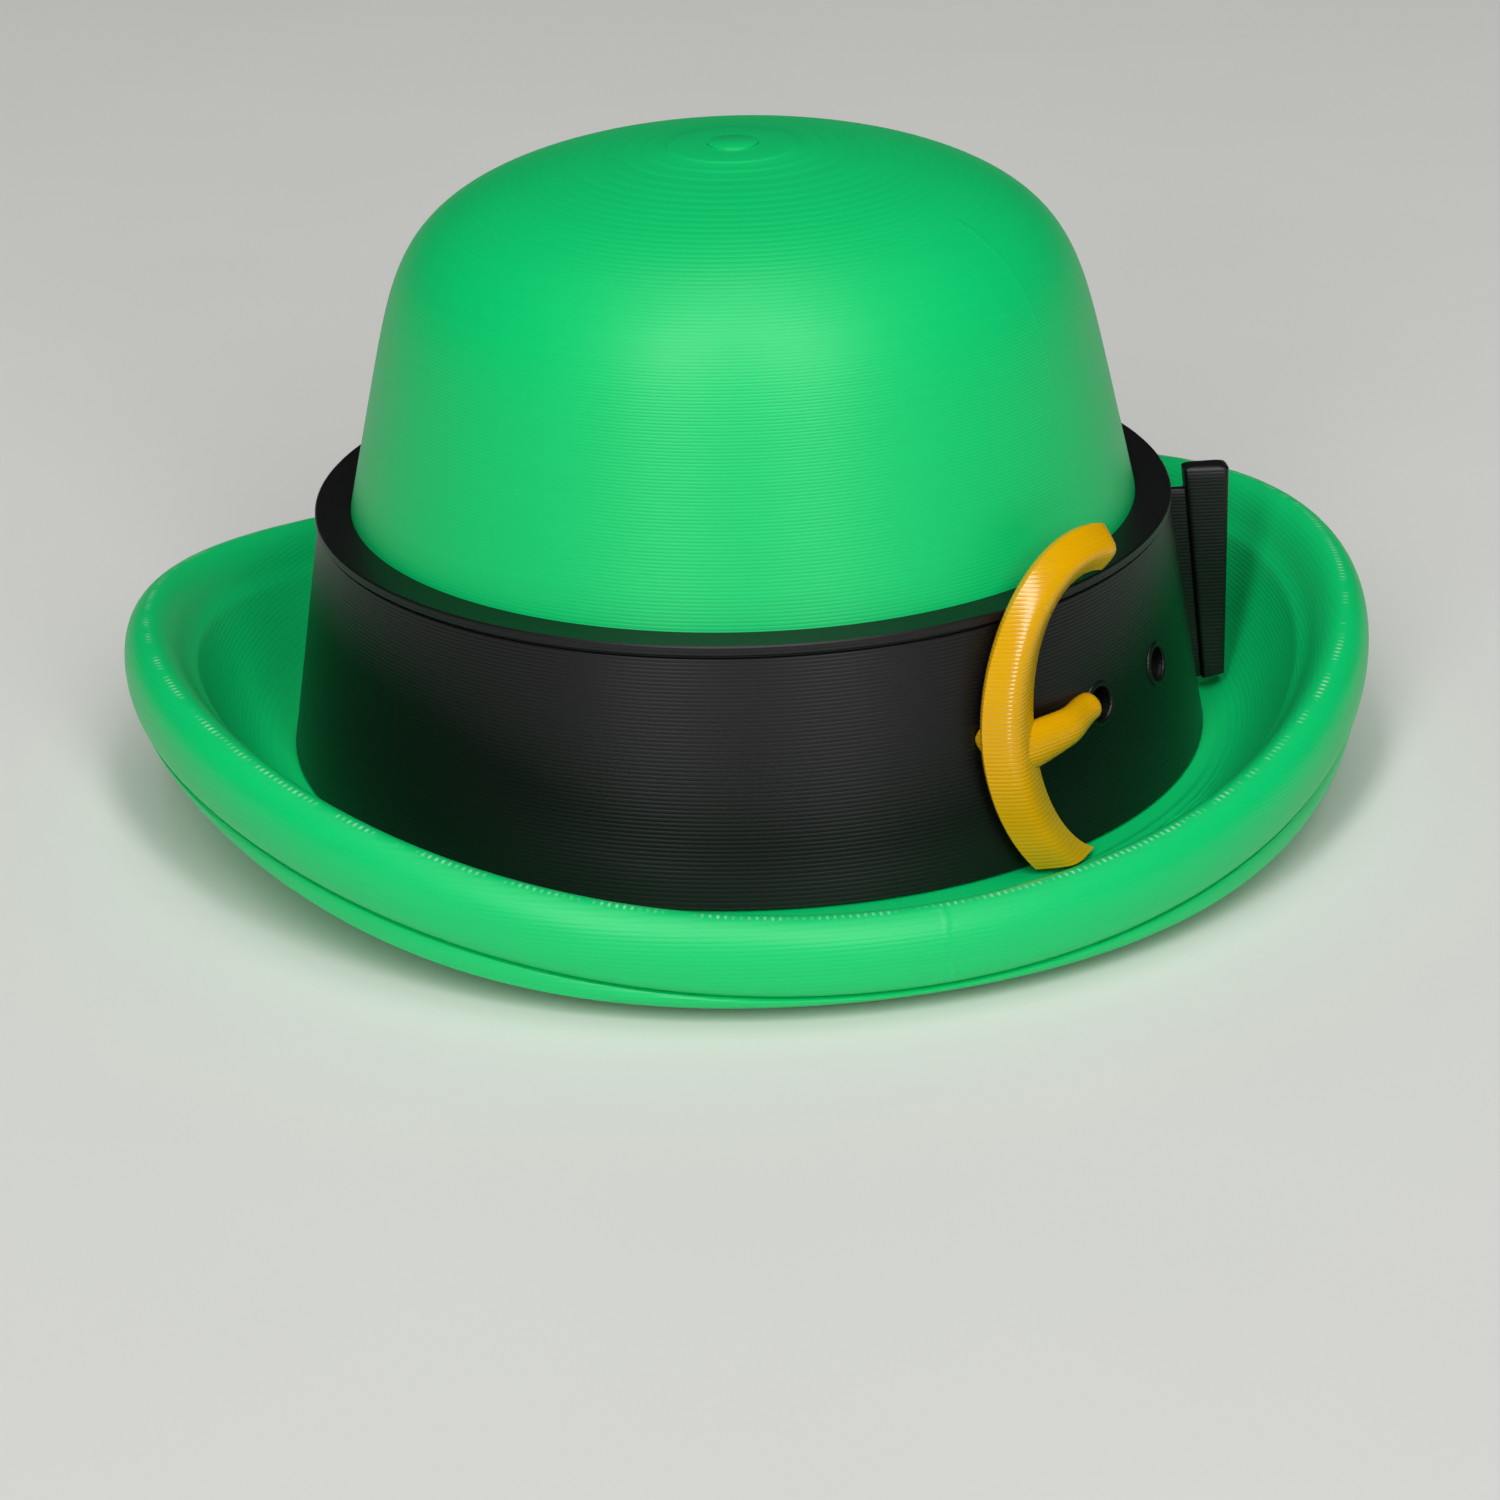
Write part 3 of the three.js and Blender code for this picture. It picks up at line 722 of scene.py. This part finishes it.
def bar_tree():
    """A bar of changing size along a path that lies on the belt: x along the belt, y up it, z off it."""
    inputs = (
        ("Path", "Geometry"),
        ("Sides", "Int"),
        ("Squareness", "Float"),
        ("Edge Share", "Float"),
        ("Ridge", "Float"),
        ("Bearing", "Float"),
        ("Middle Height", "Float"),
        ("Reach", "Float"),
        ("Band Radius", "Float"),
        ("Band Taper", "Float"),
        ("Material", "Material"),
    )
    tree, given = new_tree("bar_on_belt", inputs)
    grid, turn, sample = grid_of(tree, given["Path"], given["Sides"])
    spot = add(tree, "ShaderNodeSeparateXYZ", {0: sample()}).outputs
    sides = []
    for operation in ("COSINE", "SINE"):
        wave = add(tree, MATH, {0: turn}, operation=operation)
        sign = add(tree, MATH, {0: wave}, operation="SIGN")
        bare = add(tree, MATH, {0: wave}, operation="ABSOLUTE")
        bent = add(tree, MATH, {0: bare, 1: given["Squareness"]}, operation="POWER")
        sides.append(add(tree, MATH, {0: bent, 1: sign}, operation="MULTIPLY"))
    out = add(tree, MATH, {0: sides[0], 1: sample("half_width")}, operation="MULTIPLY")
    x = add(tree, MATH, {0: out, 1: sample("across_x"), 2: spot["X"]}, operation="MULTIPLY_ADD")
    y = add(tree, MATH, {0: out, 1: sample("across_y"), 2: spot["Y"]}, operation="MULTIPLY_ADD")
    # A ridge share over zero makes the upper side a roof with two plain slopes and a round ridge that wide.
    ridge = given["Ridge"]
    soft = add(tree, MATH, {0: ridge, 1: 2.0}, operation="POWER")
    squared = add(tree, MATH, {0: sides[0], 1: sides[0], 2: soft}, operation="MULTIPLY_ADD")
    slope = add(tree, MATH, {0: squared}, operation="SQRT")
    whole = add(tree, MATH, {0: soft, 1: 1.0}, operation="ADD")
    eaves = add(tree, MATH, {0: whole}, operation="SQRT")
    roof = {"Value": slope, "From Min": ridge, "From Max": eaves, "To Min": 1.0, "To Max": 0.0}
    roofed = add(tree, "ShaderNodeMapRange", roof)
    above = add(tree, MATH, {0: sides[1], 1: 0.0}, operation="GREATER_THAN")
    facing = add(tree, MATH, {0: roofed, 1: above}, operation="MULTIPLY")
    rounded = add(tree, MATH, {0: sides[1], 1: 0.0}, operation="MAXIMUM")
    plain = add(tree, MATH, {0: ridge, 1: 0.0}, operation="GREATER_THAN")
    upper = add(tree, "ShaderNodeMix", {"Factor": plain, "A": rounded, "B": facing})
    lower = add(tree, MATH, {0: sides[1], 1: 0.0}, operation="MINIMUM")
    # The section is widest at the edge share of its depth, with the upper side above and the back below.
    edge = given["Edge Share"]
    rest = add(tree, MATH, {0: 1.0, 1: edge}, operation="SUBTRACT")
    back = add(tree, MATH, {0: lower, 1: edge, 2: edge}, operation="MULTIPLY_ADD")
    raised = add(tree, MATH, {0: upper, 1: rest, 2: back}, operation="MULTIPLY_ADD")
    thick = sample("depth")
    proud = add(tree, MATH, {0: raised, 1: thick, 2: spot["Z"]}, operation="MULTIPLY_ADD")
    off = add(tree, MATH, {0: out, 1: sample("lean"), 2: proud}, operation="MULTIPLY_ADD")
    along = add(tree, MATH, {0: x, 1: given["Reach"]}, operation="DIVIDE")
    bearing = add(tree, MATH, {0: along, 1: given["Bearing"]}, operation="ADD")
    height = add(tree, MATH, {0: y, 1: given["Middle Height"]}, operation="ADD")
    fall = add(tree, MATH, {0: y, 1: given["Band Taper"]}, operation="MULTIPLY")
    cone = add(tree, MATH, {0: given["Band Radius"], 1: fall}, operation="SUBTRACT")
    radius = add(tree, MATH, {0: cone, 1: off}, operation="ADD")
    return close_tree(tree, grid, radius, height, bearing, given["Material"])


Station = namedtuple("Station", "x y z across_x across_y half_width depth lean", defaults=(0.0,))


def bar(name, stations, sizes, bearing, height, material, sides,
        squareness=1.0, edge_share=0.5, stand_off=0.0, ridge=0.0):
    """A piece along stations on the belt, or at a stand-off from it, round a bearing and a height."""
    points = [(s.x, s.y, s.z) for s in stations]
    keys = ("across_x", "across_y", "half_width", "depth", "lean")
    columns = {key: [getattr(s, key) for s in stations] for key in keys}
    radius = band_radius(sizes.belt, height)
    inputs = {
        "Sides": sides,
        "Squareness": squareness,
        "Edge Share": edge_share,
        "Ridge": ridge,
        "Bearing": bearing,
        "Middle Height": height,
        "Reach": radius + stand_off,
        "Band Radius": radius,
        "Band Taper": sizes.belt.taper,
        "Material": material,
    }
    return grown(name, line_mesh(name + "_path", points, columns), bar_tree(), inputs)


def closed_ends(stations, blunt):
    """The stations with both ends rounded over and closed within a short length."""
    rounded = []
    for end, inner in ((stations[0], stations[1]), (stations[-1], stations[-2])):
        course = Vector((end.x - inner.x, end.y - inner.y, end.z - inner.z)).normalized()
        cap = []
        for part in (0.35, 0.65, 0.87, 0.97, 1.0):
            size = math.sqrt(1.0 - part**2)
            spot = Vector((end.x, end.y, end.z)) + course * blunt * part
            spot.z += end.depth * (1.0 - size) / 2
            cap.append(end._replace(x=spot.x, y=spot.y, z=spot.z, half_width=end.half_width * size,
                                    depth=end.depth * size))
        rounded.append(cap)
    return rounded[0][::-1] + list(stations) + rounded[1]


def tail_stations(belt):
    """The loose end, an upright tab that gets narrower to its foot."""
    stations = []
    for part in even_parts(steps=24):
        z = belt.tail_foot + (belt.tail_top - belt.tail_foot) * part
        inner = belt.tail_inner + belt.tail_slant * (1.0 - part)
        off = inner - band_radius(belt, z)
        half = belt.tail_thickness / 2
        stations.append(Station(0.0, z - belt.hole_height, off, 1.0, 0.0, half, belt.tail_outer - inner))
    return closed_ends(stations, 0.2 * MM)


def web_stations(belt):
    """The thin web that joins the tail to the belt, up to the notch at the tail's top."""
    end = belt.tail_outer - 0.5 * MM  # inside the tail
    half = belt.tail_web / 2
    stations = []
    for part in even_parts(steps=24):
        z = belt.tail_foot + (belt.tail_notch - belt.tail_foot) * part
        depth = end - band_radius(belt, z) + belt.tail_root
        stations.append(Station(0.0, z - belt.hole_height, -belt.tail_root, 1.0, 0.0, half, depth))
    return closed_ends(stations, 0.1 * MM)


def ring_stations(radius, half_width, depth):
    """A closed round path for the worn rim of a hole."""
    stations = []
    for part in even_parts(steps=24):
        turn = math.tau * part
        x, y = math.cos(turn), math.sin(turn)
        stations.append(Station(x * radius, y * radius, -depth / 2, x, y, half_width, depth))
    return stations


def drill(belt, bearing):
    """A round cutter through the belt's face at one of its holes."""
    shape = bmesh.new()
    depth = 1.1 * MM
    wide = belt.hole_radius * 1.12
    bmesh.ops.create_cone(
        shape, cap_ends=True, segments=40, radius1=belt.hole_radius, radius2=wide, depth=2 * depth
    )
    radius = band_radius(belt, belt.hole_height)
    place = Matrix.Rotation(bearing, 4, "Z") @ Matrix.Translation((0.0, -radius, belt.hole_height))
    bmesh.ops.transform(shape, matrix=place @ Matrix.Rotation(math.pi / 2, 4, "X"), verts=shape.verts)
    mesh = bpy.data.meshes.new("hole")
    shape.to_mesh(mesh)
    shape.free()
    return linked("hole", mesh)


def cut_off(piece, place, way):
    """Cuts away what lies on one side of a plane and closes the piece there."""
    shape = bmesh.new()
    shape.from_mesh(piece.data)
    everything = shape.verts[:] + shape.edges[:] + shape.faces[:]
    cut = bmesh.ops.bisect_plane(shape, geom=everything, plane_co=place, plane_no=way, clear_outer=True)
    edges = [item for item in cut["geom_cut"] if isinstance(item, bmesh.types.BMEdge)]
    bmesh.ops.contextual_create(shape, geom=edges)
    shape.to_mesh(piece.data)
    shape.free()
    outward(piece.data)


class BOWLER_OT_belt(bpy.types.Operator):
    """Make the black belt with its lip, its holes and its loose tail."""

    bl_idname = "bowler.belt"
    bl_label = "Belt"

    def execute(self, context):
        sizes = context.scene.bowler
        belt = sizes.belt
        # Dull plastic: black, with a grey sheen where it faces the lamps.
        looks = {"roughness": (0.36, 0.44), "shine": 0.48, "depth": 1.2}
        material = printed_pla("black_pla", sizes.printing.black, sizes, **looks)
        piece = turned("black_belt", band_rows(sizes.hat, belt), sizes, material)
        height = belt.hole_height
        place = (sizes, belt.tail_bearing, height, material)
        square = {"sides": 48, "squareness": 0.3}
        tail = bar("tail", tail_stations(belt), *place, **square)
        combine(tail, bar("web", web_stations(belt), *place, **square), "UNION")
        outwards = Matrix.Rotation(belt.tail_bearing, 3, "Z") @ Vector((0.0, -1.0, 0.0))
        slope = outwards * belt.tail_foot_rise - Vector((0.0, 0.0, belt.tail_outer - belt.tail_inner))
        cut_off(tail, outwards * belt.tail_inner + Vector((0.0, 0.0, belt.tail_foot)), slope)
        combine(piece, tail, "UNION")
        worn = 0.14 * MM
        rim = ring_stations(belt.hole_radius + worn, worn, 0.2 * MM)
        for bearing in (belt.first_hole, belt.second_hole):
            combine(piece, drill(belt, bearing), "DIFFERENCE")
            combine(piece, bar("rim", rim, sizes, bearing, height, material, sides=10), "UNION")
        finish(piece, material, "belt")
        return {"FINISHED"}


# Buckle
def frame_stations(buckle):
    """The C of the buckle, from its lower end round the bar to its upper end."""
    stations = []
    for part in even_parts(steps=60):
        turn = buckle.lower_end + (buckle.upper_end - buckle.lower_end) * part
        x = -buckle.half_width * math.cos(turn)
        y = buckle.half_height * math.sin(turn)
        normal = Vector((-math.cos(turn) / buckle.half_width, math.sin(turn) / buckle.half_height))
        outwards = normal.normalized()
        thin = abs(math.sin(turn)) ** 1.5  # the bar keeps its width round its middle
        width = buckle.bar_width + (buckle.end_width - buckle.bar_width) * thin
        stations.append(Station(x, y, 0.0, outwards.x, outwards.y, width / 2, buckle.depth))
    return closed_ends(stations, 0.3 * MM)


def tip_level(sizes):
    """Height of the tongue's tip above the buckle's middle."""
    return sizes.belt.hole_height - sizes.buckle.height + sizes.buckle.tongue_level


def tongue_stations(sizes):
    """The tongue, from the bar to its hole, where the tip drops in."""
    belt, buckle = sizes.belt, sizes.buckle
    reach = band_radius(belt, belt.hole_height) + buckle.stand_off
    start = -buckle.half_width
    run = (belt.first_hole - buckle.bearing) * reach - start - buckle.tongue_short
    across = Vector((-buckle.tongue_rise, run)).normalized()
    clear = 0.1 * MM  # gap between the tongue and the belt
    drop = 0.5 * MM  # how far the tip sinks, over the tongue's last two fifths
    stations = []
    for part in even_parts(steps=24):
        half = buckle.tongue_root + (buckle.tongue_tip - buckle.tongue_root) * part
        off = clear - drop * smooth((part - 0.6) / 0.4)
        y = tip_level(sizes) - buckle.tongue_rise * (1 - part)
        stations.append(Station(start + run * part, y, off, across.x, across.y, half, buckle.tongue_depth))
    return closed_ends(stations, 0.5 * MM)


def loop_stations(sizes):
    """The tongue's loop, a small round bump on the bar's outer edge."""
    buckle = sizes.buckle
    middle = -buckle.half_width - 0.22 * buckle.bar_width
    level = tip_level(sizes) - buckle.tongue_rise + 0.7 * MM
    half_length = 0.62 * MM
    half_width = 0.8 * MM
    depth = 0.55 * buckle.depth
    stations = []
    for part in even_parts(steps=16)[1:-1]:
        x = middle - half_length * math.cos(math.pi * part)
        size = math.sin(math.pi * part)
        stations.append(Station(x, level, 0.0, 0.0, 1.0, half_width * size, depth * size))
    return closed_ends(stations, 0.01 * MM)


class BOWLER_OT_buckle(bpy.types.Operator):
    """Make the yellow buckle: a C-shaped frame with its tongue and the tongue's loop."""

    bl_idname = "bowler.buckle"
    bl_label = "Buckle"

    def execute(self, context):
        sizes = context.scene.bowler
        buckle = sizes.buckle
        # Glossy plastic: a bright line along the ridge, broken by deep layer lines.
        looks = {"roughness": (0.15, 0.2), "shine": 0.6, "depth": 1.6}
        material = printed_pla("yellow_pla", sizes.printing.yellow, sizes, **looks)
        place = (sizes, buckle.bearing, buckle.height, material)
        roof = {"sides": 72, "edge_share": buckle.edge_share, "ridge": buckle.ridge}
        piece = bar("yellow_buckle", frame_stations(buckle), *place, stand_off=buckle.stand_off, **roof)
        for name, stations in (("tongue", tongue_stations(sizes)), ("loop", loop_stations(sizes))):
            rounded = bar(name, stations, *place, sides=28, stand_off=buckle.stand_off)
            combine(piece, rounded, "UNION")
        cut_off(piece, (0.0, 0.0, buckle.foot), (0.0, 0.0, -1.0))
        finish(piece, material, "buckle")
        return {"FINISHED"}


# Stage
def light(name, place, aim, size, power):
    """A soft oblong light at a place, turned to a point."""
    lamp = bpy.data.lights.new(name, "AREA")
    lamp.shape = "RECTANGLE"
    lamp.size, lamp.size_y = size
    lamp.energy = power
    spot = linked(name, lamp)
    spot.location = place
    spot.rotation_euler = (Vector(aim) - Vector(place)).to_track_quat("-Z", "Y").to_euler()


def pale_paper(tint):
    """Matt paper: an even pale tone with faint clouds of about 20 mm."""
    material, tree, place = new_material("pale_paper")
    cloud = add(tree, "ShaderNodeTexNoise", {"Vector": place, "Scale": 1 / (20 * MM)})
    value = add(tree, "ShaderNodeMapRange", {"Value": cloud, "To Min": 0.98, "To Max": 1.02})
    tinted = add(tree, "ShaderNodeHueSaturation", {"Value": value, "Color": (*tint, 1.0)})
    shader = add(tree, "ShaderNodeBsdfPrincipled", {"Base Color": tinted, "Roughness": 0.8})
    add(tree, "ShaderNodeOutputMaterial", {"Surface": shader})
    return material


class BOWLER_OT_stage(bpy.types.Operator):
    """Set up the floor, the soft light and the camera."""

    bl_idname = "bowler.stage"
    bl_label = "Stage"

    def execute(self, context):
        stage = context.scene.bowler.stage
        turn = Matrix.Rotation(stage.bearing, 3, "Z")
        mesh = bpy.data.meshes.new("floor")
        reach = stage.floor_reach
        corners = [(-reach, -reach, 0), (reach, -reach, 0), (reach, reach, 0), (-reach, reach, 0)]
        mesh.from_pydata(corners, [], [(0, 1, 2, 3)])
        mesh.materials.append(pale_paper(stage.floor))
        floor = linked("floor", mesh)
        aim = Vector((0.0, 0.0, stage.aim_height))
        level = stage.lamp_distance * math.cos(stage.lamp_elevation)
        height = stage.lamp_distance * math.sin(stage.lamp_elevation)
        for name, side in (("lamp_left", -1.0), ("lamp_right", 1.0)):
            aside = Matrix.Rotation(stage.bearing + side * stage.lamp_bearing, 3, "Z")
            place = aside @ Vector((0.0, -level, height))
            light(name, place, aim, (stage.lamp_width, stage.lamp_length), stage.lamp_power)
        overhead = (0.0, 0.0, stage.sky_height)
        light("lamp_sky", overhead, aim, (stage.sky_size, stage.sky_size), stage.sky_power)
        world = bpy.data.worlds.new("air")
        world.use_nodes = True
        air = world.node_tree.nodes["Background"].inputs
        air["Color"].default_value = (1.0, 1.0, 1.0, 1.0)
        air["Strength"].default_value = stage.air
        context.scene.world = world
        self.camera(context, stage, turn)
        context.scene.view_settings.view_transform = "Standard"
        return {"FINISHED"}

    def camera(self, context, stage, turn):
        """The camera at its fitted place, with its roll."""
        camera = bpy.data.cameras.new("camera")
        camera.sensor_fit = "AUTO"
        camera.angle = stage.view_angle
        camera.clip_start = 0.01
        eye = linked("camera", camera)
        ahead = turn @ Vector((0.0, math.cos(stage.elevation), -math.sin(stage.elevation)))
        level = ahead.cross(Vector((0.0, 0.0, 1.0))).normalized()
        upright = level.cross(ahead)
        right = level * math.cos(stage.roll) - upright * math.sin(stage.roll)
        up = level * math.sin(stage.roll) + upright * math.cos(stage.roll)
        pose = Matrix((right, up, -ahead)).transposed().to_4x4()
        pose.translation = turn @ Vector((0.0, -stage.distance, stage.height))
        eye.matrix_world = pose
        context.scene.camera = eye


class BOWLER_PT_panel(bpy.types.Panel):
    """The steps that make the hat, in order."""

    bl_idname = "BOWLER_PT_panel"
    bl_label = "Bowler hat"
    bl_space_type = "VIEW_3D"
    bl_region_type = "UI"
    bl_category = "Bowler hat"

    def draw(self, context):
        for step in STEPS:
            self.layout.operator(step.bl_idname)


STEPS = (BOWLER_OT_hat, BOWLER_OT_belt, BOWLER_OT_buckle, BOWLER_OT_stage)
GROUPS = (BOWLER_PG_print, BOWLER_PG_hat, BOWLER_PG_belt, BOWLER_PG_buckle, BOWLER_PG_stage, BOWLER_PG_all)
CLASSES = (*GROUPS, *STEPS, BOWLER_PT_panel)


def register():
    for kind in CLASSES:
        bpy.utils.register_class(kind)
    bpy.types.Scene.bowler = PointerProperty(type=BOWLER_PG_all)


def unregister():
    del bpy.types.Scene.bowler
    for kind in reversed(CLASSES):
        bpy.utils.unregister_class(kind)


def main():
    register()
    bpy.ops.bowler.hat()
    bpy.ops.bowler.belt()
    bpy.ops.bowler.buckle()
    bpy.ops.bowler.stage()


if __name__ == "__main__":
    main()
